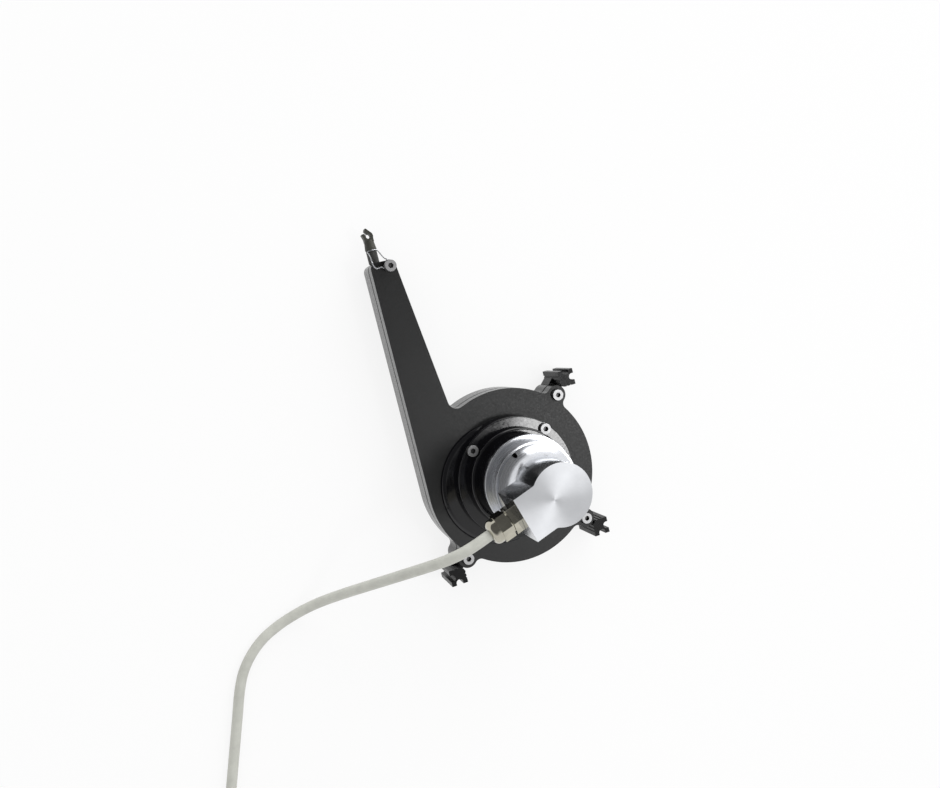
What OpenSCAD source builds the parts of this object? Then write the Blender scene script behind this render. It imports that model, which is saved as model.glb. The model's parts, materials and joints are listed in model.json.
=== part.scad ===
// Draw wire encoder: a spring-driven wire drum in a round two-part housing with a long wire
// outlet arm, and a 58 mm encoder on an adapter over the drum axis.
// The unit lies on its mounting face, z = 0, with the drum axis along Z and the wire along +Y.

/* [Wire and drum] */
// Radius at which the wire's centre lies on the drum, which sets the travel per turn
wire_pitch_r = 50.4; // [42:0.1:64]
// Diameter of the stranded steel wire
wire_d = 0.8; // [0.5:0.1:1]
// Distance between neighbouring turns of wire
wire_pitch = 1.1; // [1:0.05:1.3]
// Number of turns that the drum holds
wire_turns = 11; // [7:1:11]
// Height of the drum's end flanges above the wire's centre
drum_flange_up = 1.8; // [1.2:0.1:3]
// Thickness of the drum's end flanges
drum_flange_t = 1.2; // [0.8:0.1:1.6]
// Thickness of the drum's rim under the wire grooves
drum_rim_t = 2.7; // [2:0.1:5]
// Thickness of the drum's web
drum_web_t = 3; // [2:0.1:4]
// Radius of the drum's hub
drum_hub_r = 11; // [9:0.5:16]
// Radius of the round windows in the drum's web
drum_window_r = 8; // [3:0.5:9]
// Number of windows in the drum's web
drum_windows = 6; // [3:1:6]
// Radius of the drum shaft
shaft_r = 5; // [4.5:0.1:5]

/* [Housing] */
// Depth of the drum housing from rear face to front face
housing_h = 24; // [23:0.5:32]
// Thickness of the housing's side wall
wall_t = 2.5; // [2:0.1:4]
// Thickness of the rear housing's floor
floor_t = 3; // [2.6:0.1:4]
// Thickness of the front housing's roof
roof_t = 3; // [2.6:0.1:4]
// Gap between the drum's flanges and the side wall
drum_side_gap = 1.3; // [0.8:0.1:4]
// Gap between the drum and the floor
drum_floor_gap = 1.2; // [0.8:0.1:2]
// Gap between the drum and the roof
drum_roof_gap = 2.2; // [2:0.1:3]
// Height of the dark sealing seam between the two housing halves
seam_h = 1.4; // [0.8:0.1:2]
// Depth of the seam below the side walls
seam_inset = 0.8; // [0.4:0.1:1.2]
// Plastic left between the outlet's thread and the seam
seam_cover = 0.2; // [0.1:0.1:1]

/* [Outlet arm] */
// Reach of the arm from the drum axis to its end face
arm_reach = 150; // [120:1:200]
// Width of the arm at its end
arm_tip_w = 15.1; // [14.5:0.1:20]
// Slope of the arm's inner side, in degrees
arm_taper = 6.8; // [4:0.1:9]
// Radius of the arm's end corners
arm_corner_r = 4.2; // [4:0.1:5]
// Radius of the hollow corner where the arm leaves the round housing
arm_root_r = 6; // [3:0.5:12]
// Length of the solid block at the arm's end
arm_block_l = 12; // [10:0.5:16]
// Radius of the hollow cut round the outlet in the front housing
notch_r = 5.2; // [4.6:0.1:5.2]
// Height of the rear housing's tongue behind that hollow
tongue_h = 4.4; // [2:0.1:5]
// Number of stiffening ribs across the arm
arm_ribs = 3; // [1:1:4]

/* [Lugs and feet] */
// Distance of the lug screws outside the round housing
lug_out = 3.4; // [3:0.1:5]
// Width of a screw lug
lug_w = 12.4; // [11:0.1:14]
// Radius of the hollow corners beside a lug
lug_root_r = 4; // [2:0.1:5]
// Side of a foot's square post
foot_w = 10.5; // [9.5:0.1:13]
// Height of a foot's post
foot_h = 25; // [20:0.5:30]
// Width of the fixing slots in a foot
foot_slot_w = 4.4; // [3.4:0.1:4.6]
// Depth of the fixing slots in a foot
foot_slot_d = 3.4; // [2.6:0.1:3.6]
// Shadow gap between a foot's post and the lug
foot_gap = 0.8; // [0.5:0.1:1.5]

/* [Adapter] */
// Radius of the adapter's screw flange
adapter_r = 38.7; // [38.5:0.1:42]
// Height of the screw flange above the housing
adapter_disc_h = 9; // [7:0.1:11]
// Radius of the adapter's second step
adapter_step_r = 32; // [30:0.1:33]
// Height of the second step above the housing
adapter_step_h = 15; // [12:0.5:20]
// Radius of the adapter's neck
adapter_neck_r = 28; // [27.5:0.1:29]
// Height of the adapter above the housing
adapter_h = 28.4; // [28:0.1:36]
// Radius of the adapter's hollow
adapter_bore_r = 25.4; // [25.2:0.1:25.8]
// Distance of the adapter screws from the drum axis
adapter_screw_r = 35.1; // [34.9:0.1:35.5]
// Depth of the counterbores for the adapter screws
adapter_sink = 1.5; // [1:0.1:2]
// Radius of the offset base plate
base_r = 39; // [36:0.5:42]
// Thickness of the offset base plate
base_h = 3; // [2:0.1:4]
// Offset of the base plate's centre from the drum axis
base_offset = [-9.5, -1.7];

/* [Encoder] */
// Radius of the encoder flange
flange_r = 29; // [29:0.5:32]
// Thickness of the encoder flange's rim
flange_h = 2.6; // [2.4:0.1:4]
// Radius of the encoder's turned body
body_r = 26; // [25.5:0.1:27]
// Height of the turned body above the rim
body_h = 10.3; // [9:0.1:12]
// Radius of the pilot that centres the encoder
pilot_r = 25; // [24:0.1:25]
// Height of the pilot
pilot_h = 3; // [2:0.1:4]
// Distance of the encoder's fixing screws from its axis
flange_screw_r = 21; // [20:0.1:21]
// Radius of the turned shoulder over the body
shoulder_r = 24.5; // [23:0.1:25]
// Height of the shoulder above the body
shoulder_h = 1.1; // [0.8:0.1:2]
// Radius of the hollow flare between the shoulder and the cap
flare_r = 11.4; // [10:0.1:13]
// Radius of the encoder cap
cap_r = 18; // [17.5:0.1:20]
// Height of the encoder cap
cap_h = 24.8; // [23:0.1:32]
// Reach of the cap's nose from the axis
nose_l = 25.4; // [23:0.1:30]
// Width of the cap's nose
nose_w = 27.6; // [24:0.1:29]
// Direction of the nose, counted from +X
nose_angle = 197; // [180:1:215]
// Wall thickness of the cap
cap_t = 2; // [1.5:0.1:2.5]
// Thickness of the cap's top
cap_top_t = 2.5; // [1.5:0.1:3]
// Radius of the encoder shaft
encoder_shaft_r = 3; // [2.5:0.1:3]
// Length of encoder shaft that stands out of the pilot
encoder_shaft_out = 10; // [8:0.5:10]

/* [Outlet and clip] */
// Radius of the outlet nozzle
nozzle_r = 3.3; // [3:0.1:3.6]
// Length of nozzle that stands out of the arm
nozzle_l = 8.5; // [6:0.5:12]
// Radius of the nozzle's threaded end
nozzle_thread_r = 2.9; // [2.5:0.1:2.9]
// Radius of the clip where it meets the nozzle
clip_r = 3.65; // [3.4:0.05:4]
// Length of the clip's tapered body
clip_body_l = 6; // [5.8:0.1:8]
// Radius of the clip's round head
clip_head_r = 3.1; // [3:0.1:3.6]
// Thickness of the clip's head
clip_head_t = 4.6; // [4:0.1:5]
// Radius of the eye in the clip's head
clip_eye_r = 1.4; // [1.2:0.05:1.5]
// Width of the clip's mouth
clip_mouth_w = 1.3; // [1:0.1:1.4]

/* [Cable] */
// Diameter of the signal cable
cable_d = 6.3; // [5:0.1:6.3]
// Radius of the innermost turn of the stored coil
coil_inner_r = 32; // [30:0.5:36]

/* [Hidden] */
$fn = 64;

// clearances
fit = 0.02;           // parts that are pressed or screwed together
running = 0.1;        // parts that slide or turn in one another
through = 0.2;        // screw shanks in plain holes
over = 1;             // how far a cutting shape stands past what it cuts
bite = 0.005;         // how far a hollow corner's arc cuts into the sides that it joins

// housing
chamber_r = wire_pitch_r + drum_flange_up + drum_side_gap;
housing_r = chamber_r + wall_t;
drum_z = floor_t + drum_floor_gap;
drum_top = housing_h - roof_t - drum_roof_gap;
wire_z = (drum_z + drum_top) / 2;
split_z = wire_z + nozzle_thread_r + seam_cover;
front_z = split_z + seam_h;
roof_z = housing_h - roof_t;

// outlet arm
arm_n = [cos(arm_taper), sin(arm_taper)];
arm_t = [-sin(arm_taper), cos(arm_taper)];
arm_c = arm_n * [arm_tip_w - housing_r, arm_reach];
left_corner = [arm_corner_r - housing_r, arm_reach - arm_corner_r];
tip_screw = [(arm_c - arm_corner_r - left_corner.y * arm_n.y) / arm_n.x, left_corner.y];
arm_hollow_y = arm_reach - arm_block_l;
wire_x = -wire_pitch_r;
rib_t = 1.5;
rib_h = 3;

// lugs, feet and screws
lug_r = housing_r + lug_out;
lug_angles = [45, -45, -135];
mount_angles = [45, -45, -135, 135];
foot_centre = (housing_r + 0.2 - foot_w / 2) * sqrt(2);
m4_r = 2;
m4_head_r = 3.5;
m4_head_h = 4;
m4_core_r = 1.65;
m4_socket_r = 1.73;
insert_r = 2.8;
shell_insert_l = 7.5;
mount_insert_l = 6;
lug_sink = 1.5;
retainer_d = 0.8;

// spring and drum bearings
ball_bearing = [5, 9.5, 5, 7.25, 1.2];
arbor_r = 12;
arbor_flange_r = 18;
arbor_flange_t = 2;
arbor_bore_r = 7;
arbor_screw_ring = 14.5;
m3_r = 1.5;
rear_bearing_z = floor_t + 1;
arbor_top = drum_top - drum_web_t - 0.4;
spring_z = floor_t + arbor_flange_t + 0.4;
spring_top = arbor_top - 0.2;
spring_t = 0.5;
spring_turns = 8;
spring_steps = 24;
rim_r = wire_pitch_r - 0.2;
cup_r = rim_r - drum_rim_t;
spring_in_r = arbor_r + 0.3 + spring_t / 2;
spring_out_r = cup_r - 0.3 - spring_t / 2;
shaft_shoulder_r = 6;
hub_top = roof_z - 0.6;
key_w = 3;
key_in = 3.6;
key_out = 6.4;
front_bearing_z = roof_z + 2.5;
front_bearing_top = front_bearing_z + ball_bearing[2];
boss_top = front_bearing_top + 1.8;
circlip_t = 0.9;
drum_shaft_top = housing_h + 14.5;

// encoder
plate_h = 4;
pilot_z = housing_h + adapter_h - pilot_h;
flange_z = housing_h + adapter_h;
rim_z = flange_z + flange_h;
shoulder_z = rim_z + body_h;
flare_h = sqrt(pow(flare_r, 2) - pow(cap_r + flare_r - shoulder_r, 2));
cap_z = shoulder_z + shoulder_h + flare_h;
cap_top = cap_z + cap_h;
small_bearing = [3, 6.5, 5, 4.75, 0.9];
low_bearing_z = pilot_z + 2;
high_bearing_z = cap_z - 11.7;
chamber_z = high_bearing_z + small_bearing[2] + 1.5;
board_chamber_r = 15;
coupling_r = 9.5;
coupling_z = housing_h + 7.2;
coupling_top = pilot_z - 1.4;
encoder_shaft_z = pilot_z - encoder_shaft_out;
encoder_shaft_top = chamber_z + 2.5;
holder_z = chamber_z + 0.5;
board_z = cap_z + 3.3;
board_t = 1.6;
board_r = cap_r - cap_t - 0.6;
standoff_ring = 10.5;
standoff_r = 1.8;
set_screw_z = shoulder_z + 1.35;
set_screw_angle = 115;

// gland, along the nose from its end face
gland_z = cap_z + 10.3;
gland_hex_r = 8.66;
gland_thread_r = 6;
gland_hex_l = 5;
gland_barrel_r = 6.4;
gland_barrel_l = 11.6;
gland_nut_start = 6.1;
gland_nut_l = 6.5;
gland_end = 18;
gland_bore_r = cable_d / 2 + 0.15;

// cable route: distance along the nose's direction, distance to its left, and height
cable_route = [[19, 0, gland_z], [44, 0, gland_z], [52, 0, gland_z], [60, 0, 85.8],
    [68, 0, 82], [76, 0, 75.6], [87, 0, 65], [98, 0, 54], [109, 0, 43], [120, 0, 32],
    [130, 0, 22.4], [140, 0, 13.8], [150, 0, 7.4], [160, 0, 4], [170, 0, 3.2], [181.5, 1.3, 3.2],
    [192.4, 5.3, 3.2], [202, 11.6, 3.2], [210, 20, 3.2], [219, 32, 3.2], [228, 44, 3.2],
    [237, 56, 3.2], [246, 68, 3.4], [255, 80, 3.8], [265, 93.3, 4]];
coil_centre = [248.4, 135];
coil_z = 0.85;

// end of the cable off the coil's top turn, from the coil's centre
tail_angle = 73;
tail_route = [[35.1, 27, 9], [35.1, 34, 7], [35.1, 41, 4.6], [35.1, 48, 3.5], [35.1, 56, 3.2],
    [35.1, 64, 3.2]];
lead_l = 32;
lead_r = 0.65;
lead_spread = 6;

// route of the retaining wire from the arm's end screw, round the nozzle and back
loop_r = 2.6;
retainer_route = [[-3.4, -0.4, 0.42], [-4.7, 0.4, 0.42], [-6.2, 0.4, 0.42], [-7.8, 0.2, 0.42],
    [-9, 1.2, 0.42], [-9.6, 3, 0.42], [-9.6, 4.4, 0.2], [-9.4, 5.2, -1.2], [-8.9, 6.4, -3.6],
    [-8.4, 8.2, -6.4], [-8.6, 10.4, -8.4], [-8.8, 11.8, -9.9], [-7.7, 12.2, -9.2],
    [-5.77, 12.2, -8.72], [-4.1, 12.2, -9.05], [-2.7, 11.6, -9.3], [-1.8, 9.6, -8.2],
    [-1.3, 7.2, -5.8], [-0.8, 5.3, -2.8], [-0.6, 4.75, -0.4], [-0.4, 4.1, 0.44], [0.3, 3.2, 0.42]];

PLASTIC = [0.2, 0.21, 0.21];
GLOSS = [0.06, 0.06, 0.065];
STEEL = [0.72, 0.73, 0.74];
ALUMINIUM = [0.82, 0.83, 0.85];
BRASS = [0.78, 0.62, 0.32];

// ---------------------------------------------------------------- shared shapes

// Ring from z0 to z1
module ring(outer, inner, z0, z1) {
    translate([0, 0, z0])
        linear_extrude(z1 - z0)
            difference() {
                circle(r = outer);
                circle(r = inner);
            }
}

// Cylinder from z0 to z1
module rod(r, z0, z1) {
    translate([0, 0, z0])
        cylinder(r = r, h = z1 - z0);
}

// Half profile of a disc whose upper outer edge is rounded
module rim_profile(r, z0, z1, edge) {
    translate([0, z0])
        square([r - edge, z1 - z0]);
    translate([0, z0])
        square([r, z1 - z0 - edge]);
    intersection() {
        translate([r - edge, z1 - edge])
            circle(r = edge);
        translate([0, z0])
            square([r + over, z1]);
    }
}

// Copies its children round the axis at the angles of a list
module at_angles(angles, r) {
    for (a = angles)
        rotate(a)
            translate([r, 0, 0])
                children();
}

// Cap screw, its seat at z = 0 and its shank down
module cap_screw(length) {
    difference() {
        union() {
            rod(m4_head_r, 0, m4_head_h);
            rod(m4_r, -length, 0.5);
        }
        translate([0, 0, m4_head_h - 2])
            cylinder(r = m4_socket_r, h = 3, $fn = 6);
    }
}

// Threaded insert between two heights
module insert(bore, z0, z1) {
    ring(insert_r - fit, bore, z0, z1);
}

// Outer ring of a ball bearing [bore radius, outer radius, width, ball circle, ball radius]
module outer_race(b, z) {
    translate([0, 0, z])
        rotate_extrude()
            difference() {
                translate([b[3] + b[4] * 0.9, 0])
                    square([b[1] - fit - b[3] - b[4] * 0.9, b[2]]);
                translate([b[3], b[2] / 2])
                    circle(r = b[4] + running / 2);
            }
}

// Inner ring of the same bearing
module inner_race(b, z) {
    translate([0, 0, z])
        rotate_extrude()
            difference() {
                translate([b[0] + fit, 0])
                    square([b[3] - b[4] * 0.9 - b[0] - fit, b[2]]);
                translate([b[3], b[2] / 2])
                    circle(r = b[4] + running / 2);
            }
}

// Balls of the same bearing
module race_balls(b, z, count) {
    for (i = [0 : count - 1])
        rotate(360 * i / count)
            translate([b[3], 0, z + b[2] / 2])
                sphere(r = b[4]);
}

function unit(v) = v / norm(v);
function step_of(points, i) =
    unit(points[min(i + 1, len(points) - 1)] - points[max(i - 1, 0)]);
// Carries one side vector along a line without twisting it
function sides_of(points, side, i = 0) =
    i == len(points) ? [] :
    let (t = step_of(points, i), s = unit(side - (side * t) * t))
    concat([s], sides_of(points, s, i + 1));
// Points between the given ones on a smooth curve
function smooth(p, n) = [
    for (i = [0 : len(p) - 2], k = [0 : n - 1])
        let (u = k / n, a = p[max(i - 1, 0)], b = p[i], c = p[i + 1],
            d = p[min(i + 2, len(p) - 1)])
        b + u * (c - a) / 2 + u * u * (a - 2.5 * b + 2 * c - d / 2)
            + u * u * u * (1.5 * (b - c) + (d - a) / 2),
    p[len(p) - 1]];

// Tube of radius r along a line of points, closed at both ends
module tube(points, r, count, side) {
    n = len(points);
    s = sides_of(points, side);
    corners = [for (i = [0 : n - 1], k = [0 : count - 1])
        let (b = cross(step_of(points, i), s[i]), a = 360 * (k + 0.5) / count)
        points[i] + r * (cos(a) * s[i] + sin(a) * b)];
    walls = [for (i = [0 : n - 2], k = [0 : count - 1])
        let (j = (k + 1) % count)
        [i * count + k, i * count + j, (i + 1) * count + j, (i + 1) * count + k]];
    polyhedron(corners, concat(
        [[for (k = [count - 1 : -1 : 0]) k]], walls,
        [[for (k = [0 : count - 1]) (n - 1) * count + k]]), convexity = 8);
}

// ---------------------------------------------------------------- housing outline

// Fills the hollow corner between a round rim and a straight side.
// n is the side's outward normal, t runs along it away from the rim, c is its distance.
module root_fillet(rim, n, t, c, r, inset) {
    centre = (c + r) * n + sqrt(pow(rim + r, 2) - pow(c + r, 2)) * t;
    corner = (c - inset) * n + sqrt(pow(rim - inset, 2) - pow(c - inset, 2)) * t;
    difference() {
        polygon([centre, centre - (r + inset) * n, 0.97 * (corner - n),
            centre * (rim - inset) / (rim + r)]);
        translate(centre)
            circle(r = r + inset + bite);
    }
}

// Point of the arm's sloping side at height y
function arm_side(y, inset) = [(arm_c - inset - y * arm_n.y) / arm_n.x, y];

module arm_outline(inset) {
    polygon([[inset - housing_r, 0], [inset - housing_r, left_corner.y],
        [left_corner.x, arm_reach - inset], [tip_screw.x, arm_reach - inset],
        tip_screw + (arm_corner_r - inset) * arm_n, arm_side(0, inset)]);
    for (p = [left_corner, tip_screw])
        translate(p)
            circle(r = arm_corner_r - inset);
}

module lug_outline(inset) {
    half = lug_w / 2 - inset;
    translate([0, -half])
        square([lug_r, 2 * half]);
    translate([lug_r, 0])
        circle(r = half);
    for (side = [0, 1])
        mirror([0, side])
            root_fillet(housing_r, [0, 1], [1, 0], lug_w / 2, lug_root_r, inset);
}

// Outline of the whole housing, or the same drawn in by an inset
module outline(inset) {
    circle(r = housing_r - inset, $fn = 128);
    arm_outline(inset);
    root_fillet(housing_r, arm_n, arm_t, arm_c, arm_root_r, inset);
    for (a = lug_angles)
        rotate(a)
            lug_outline(inset);
}

// Outline of the drum chamber and the hollow arm
module hollow_outline() {
    circle(r = chamber_r, $fn = 128);
    polygon([[-chamber_r, 0], [-chamber_r, arm_hollow_y], arm_side(arm_hollow_y, wall_t),
        arm_side(0, wall_t)]);
}

module at_shell_screws() {
    at_angles(lug_angles, lug_r)
        children();
    translate(tip_screw)
        children();
}

module notch_outline(gap) {
    translate([wire_x, arm_reach + 1])
        circle(r = notch_r - gap);
}

// Places its children on the wire's line, with local z along +Y
module on_wire(y) {
    translate([wire_x, y, wire_z])
        rotate([-90, 0, 0])
            children();
}

// ---------------------------------------------------------------- housing

module rear_shell() {
    difference() {
        linear_extrude(split_z)
            outline(0);
        translate([0, 0, floor_t])
            linear_extrude(split_z)
                hollow_outline();
    }
    // tongue behind the hollow at the outlet
    translate([0, 0, split_z - over])
        linear_extrude(tongue_h + over)
            intersection() {
                outline(0);
                notch_outline(running);
            }
    // boss of the fourth mounting point, under the wire's plane
    rotate(135)
        translate([lug_r, 0, 0])
            rod(lug_w / 2, 0, mount_insert_l + 1.5);
    // seat of the rear bearing's outer ring
    ring(ball_bearing[1] - 0.1, ball_bearing[1] - 1.2, floor_t - over, rear_bearing_z);
    // ribs across the arm
    intersection() {
        linear_extrude(floor_t + rib_h)
            outline(wall_t / 2);
        for (i = [1 : arm_ribs])
            translate([-housing_r, housing_r + 8 + (arm_hollow_y - housing_r) * i / (arm_ribs + 1),
                0])
                cube([housing_r, rib_t, housing_h]);
    }
}

module rear_housing() {
    color(PLASTIC)
        difference() {
            rear_shell();
            // round recess in the mounting face
            ring(34, 20, -over, 0.8);
            at_shell_screws()
                rod(insert_r, split_z - shell_insert_l, split_z + over);
            at_angles(mount_angles, lug_r)
                rod(insert_r, -over, mount_insert_l);
            at_angles([90, 210, 330], arbor_screw_ring) {
                rod(m3_r + running, -over, floor_t + over);
                translate([0, 0, -0.01])
                    cylinder(r1 = 3.1, r2 = m3_r + running, h = 1.7);
            }
            on_wire(arm_hollow_y - over)
                cylinder(r = nozzle_thread_r, h = arm_block_l + 2 * over);
        }
}

module front_housing() {
    color(PLASTIC)
        difference() {
            union() {
                difference() {
                    translate([0, 0, front_z])
                        linear_extrude(housing_h - front_z)
                            outline(0);
                    linear_extrude(roof_z)
                        hollow_outline();
                }
                rod(13.5, roof_z, boss_top);
                // ring that centres the adapter
                ring(adapter_bore_r - running, adapter_bore_r - 3, roof_z + 1, housing_h + 1.5);
                at_angles([45 : 90 : 315], adapter_screw_r)
                    rod(4.6, roof_z - 1.1, roof_z + 1);
            }
            rod(8, 0, front_bearing_z + over);
            rod(ball_bearing[1], front_bearing_z, boss_top + over);
            rod(10, front_bearing_top, front_bearing_top + circlip_t + running);
            at_angles([45 : 90 : 315], adapter_screw_r)
                rod(insert_r, 0, housing_h + over);
            at_shell_screws()
                rod(m4_r + through, 0, housing_h + over);
            at_angles(lug_angles, lug_r)
                rod(m4_head_r + 0.4, housing_h - lug_sink, housing_h + over);
            linear_extrude(housing_h + over)
                notch_outline(0);
        }
}

module housing_seal() {
    color([0.08, 0.08, 0.08])
        difference() {
            union() {
                translate([0, 0, split_z])
                    linear_extrude(seam_h)
                        outline(seam_inset);
                // bead round the drum chamber
                ring(chamber_r + 1, chamber_r - 1, split_z, front_z);
            }
            linear_extrude(housing_h) {
                hollow_outline();
                notch_outline(0);
            }
            at_shell_screws()
                rod(m4_r + through, 0, housing_h);
        }
}

// Square post with a fixing slot in each of its two outer sides
module foot_outline() {
    difference() {
        rotate(45)
            square(foot_w, center = true);
        for (a = [-45, 45])
            rotate(a) {
                translate([foot_w / 2 - foot_slot_d + foot_slot_w / 2, 0])
                    circle(r = foot_slot_w / 2);
                translate([foot_w / 2 - foot_slot_d + foot_slot_w / 2, -foot_slot_w / 2])
                    square([foot_w, foot_slot_w]);
            }
        // grip grooves in the two inner sides
        for (a = [-135, 135], y = [-1.8, 0.6, 3])
            rotate(a)
                translate([foot_w / 2, y * sign(a)])
                    circle(r = 0.55, $fn = 24);
    }
}

module mounting_feet() {
    color([0.1, 0.1, 0.1])
        for (a = lug_angles)
            rotate(a) {
                linear_extrude(foot_h)
                    difference() {
                        translate([foot_centre, 0])
                            foot_outline();
                        translate([lug_r, 0])
                            circle(r = lug_w / 2 + foot_gap);
                    }
                // saddle that grips the rear housing's lug
                translate([0, 0, 1])
                    linear_extrude(split_z - 2)
                        difference() {
                            translate([lug_r + 1, -4.5])
                                square([foot_centre - lug_r - 1, 9]);
                            translate([lug_r, 0])
                                circle(r = lug_w / 2 + running);
                        }
            }
}

module housing_screws() {
    color(STEEL) {
        at_angles(lug_angles, lug_r)
            translate([0, 0, housing_h - lug_sink])
                cap_screw(14);
        translate([tip_screw.x, tip_screw.y, housing_h + retainer_d])
            cap_screw(16);
    }
}

module shell_inserts() {
    color(BRASS)
        at_shell_screws()
            insert(m4_r + fit, split_z - shell_insert_l, split_z);
}

module mount_inserts() {
    color(BRASS)
        at_angles(mount_angles, lug_r)
            insert(m4_core_r, 0, mount_insert_l);
}

// ---------------------------------------------------------------- spring

module spring_arbor() {
    color(ALUMINIUM)
        difference() {
            union() {
                rod(arbor_flange_r, floor_t, floor_t + arbor_flange_t);
                rod(arbor_r, floor_t, arbor_top);
            }
            rod(ball_bearing[1], 0, rear_bearing_z + ball_bearing[2]);
            rod(arbor_bore_r, 0, arbor_top + over);
            translate([arbor_r - 1.6, -0.4, spring_z - 0.2])
                cube([3, 0.8, housing_h]);
            at_angles([90, 210, 330], arbor_screw_ring)
                rod(m3_r + fit, 0, housing_h);
        }
}

module arbor_screws() {
    color(STEEL)
        at_angles([90, 210, 330], arbor_screw_ring)
            difference() {
                union() {
                    translate([0, 0, 0.2])
                        cylinder(r1 = 2.9, r2 = m3_r, h = 1.5);
                    rod(m3_r, 0.5, floor_t + arbor_flange_t - 0.1);
                }
                cylinder(r = 1.15, h = 1.5, $fn = 6);
            }
}

function spiral(offset) = [
    for (i = [0 : spring_turns * spring_steps])
        let (u = i / (spring_turns * spring_steps), a = 360 * i / spring_steps,
            r = spring_in_r + u * (spring_out_r - spring_in_r) + offset)
        [r * cos(a), r * sin(a)]];

module power_spring() {
    outer = spiral(spring_t / 2);
    inner = spiral(-spring_t / 2);
    last = len(inner) - 1;
    color([0.35, 0.4, 0.48])
        translate([0, 0, spring_z])
            linear_extrude(spring_top - spring_z) {
                polygon(concat(outer, [for (i = [0 : last]) inner[last - i]]));
                // tail in the arbor's slot
                translate([arbor_r - 1.4, -spring_t / 2])
                    square([spring_in_r - arbor_r + 1.5, spring_t]);
            }
}

// ---------------------------------------------------------------- drum and its shaft

module rear_bearing_outer() {
    color(STEEL)
        outer_race(ball_bearing, rear_bearing_z);
}

module rear_bearing_inner() {
    color(STEEL)
        inner_race(ball_bearing, rear_bearing_z);
}

module front_bearing_outer() {
    color(STEEL)
        outer_race(ball_bearing, front_bearing_z);
}

module front_bearing_inner() {
    color(STEEL)
        inner_race(ball_bearing, front_bearing_z);
}

module drum_bearing_balls() {
    color(STEEL)
        for (z = [rear_bearing_z, front_bearing_z])
            race_balls(ball_bearing, z, 11);
}

module bearing_circlip() {
    color(STEEL)
        difference() {
            ring(9.95, 8.2, front_bearing_top, front_bearing_top + circlip_t);
            translate([0, -2, 0])
                cube([20, 4, 2 * boss_top]);
        }
}

module shaft_circlip() {
    color(STEEL)
        difference() {
            ring(6.2, shaft_r - 0.5 + fit, front_bearing_top + fit, front_bearing_top + circlip_t);
            translate([-20, -1.5, 0])
                cube([20, 3, 2 * boss_top]);
        }
}

function groove_z(i) = wire_z + (i - (wire_turns - 1) / 2) * wire_pitch;

module drum_profile() {
    difference() {
        union() {
            translate([cup_r, drum_z])
                square([drum_rim_t, drum_top - drum_z]);
            for (z = [drum_z, drum_top - drum_flange_t])
                translate([cup_r, z])
                    square([drum_rim_t + drum_flange_up + 0.2, drum_flange_t]);
            translate([0, drum_top - drum_web_t])
                square([rim_r, drum_web_t]);
            translate([0, drum_top - drum_web_t])
                square([drum_hub_r, hub_top - drum_top + drum_web_t]);
        }
        for (i = [0 : wire_turns - 1])
            translate([wire_pitch_r, groove_z(i)])
                circle(r = wire_d / 2 + fit);
    }
}

module wire_drum() {
    color([0.9, 0.9, 0.86])
        difference() {
            rotate_extrude($fn = 128)
                drum_profile();
            rod(shaft_r, 0, housing_h);
            translate([0, -key_w / 2 - fit, 0])
                cube([key_out + fit, key_w + 2 * fit, housing_h]);
            at_angles([for (i = [0 : drum_windows - 1]) 360 * (i + 0.5) / drum_windows],
                (drum_hub_r + cup_r) / 2)
                rod(drum_window_r, drum_z, drum_top + over);
        }
}

module drum_key() {
    color(STEEL)
        translate([key_in, -key_w / 2, drum_top - drum_web_t])
            cube([key_out - key_in, key_w, hub_top - drum_top + drum_web_t]);
}

module drum_shaft() {
    color(STEEL)
        difference() {
            union() {
                rod(shaft_r - fit, floor_t + 0.6, drum_shaft_top);
                rod(shaft_shoulder_r, rear_bearing_z + ball_bearing[2], drum_top - drum_web_t);
            }
            translate([key_in - fit, -key_w / 2 - fit, drum_top - drum_web_t - fit])
                cube([shaft_r, key_w + 2 * fit, hub_top - drum_top + drum_web_t + 2 * fit]);
            ring(shaft_r + 1, shaft_r - 0.5, front_bearing_top - fit,
                front_bearing_top + circlip_t + 2 * fit);
        }
}

module shaft_spacer() {
    color(BRASS)
        ring(6.5, shaft_r + fit, hub_top, front_bearing_z);
}

// Wire on the drum, one closed turn in each groove
module wire_winding() {
    color(STEEL)
        for (i = [0 : wire_turns - 1])
            translate([0, 0, groove_z(i)])
                rotate_extrude($fn = 128)
                    translate([wire_pitch_r, 0])
                        circle(r = wire_d / 2, $fn = 24);
}

// Slit clamp coupling between the drum shaft and the encoder shaft
module shaft_coupling() {
    middle = drum_shaft_top + 1.2;
    color(ALUMINIUM)
        difference() {
            rod(coupling_r, coupling_z, coupling_top);
            rod(shaft_r, 0, middle);
            rod(encoder_shaft_r, 0, coupling_top + over);
            for (i = [0 : 3])
                rotate(90 * i)
                    translate([-coupling_r + 3, -coupling_r - over, middle - 2.7 + 1.6 * i])
                        cube([2 * coupling_r, 2 * (coupling_r + over), 0.6]);
            for (z = [coupling_z + 3, coupling_top - 3])
                translate([0, 0, z])
                    rotate([0, 90, 0])
                        cylinder(r = m3_r + fit, h = 20);
        }
}

module coupling_screws() {
    color(STEEL)
        for (p = [[coupling_z + 3, shaft_r], [coupling_top - 3, encoder_shaft_r]])
            translate([p[1] + 0.1, 0, p[0]])
                rotate([0, 90, 0])
                    difference() {
                        cylinder(r = m3_r, h = 4);
                        translate([0, 0, 2.5])
                            cylinder(r = 0.8, h = 3, $fn = 6);
                    }
}

// ---------------------------------------------------------------- adapter

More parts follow.
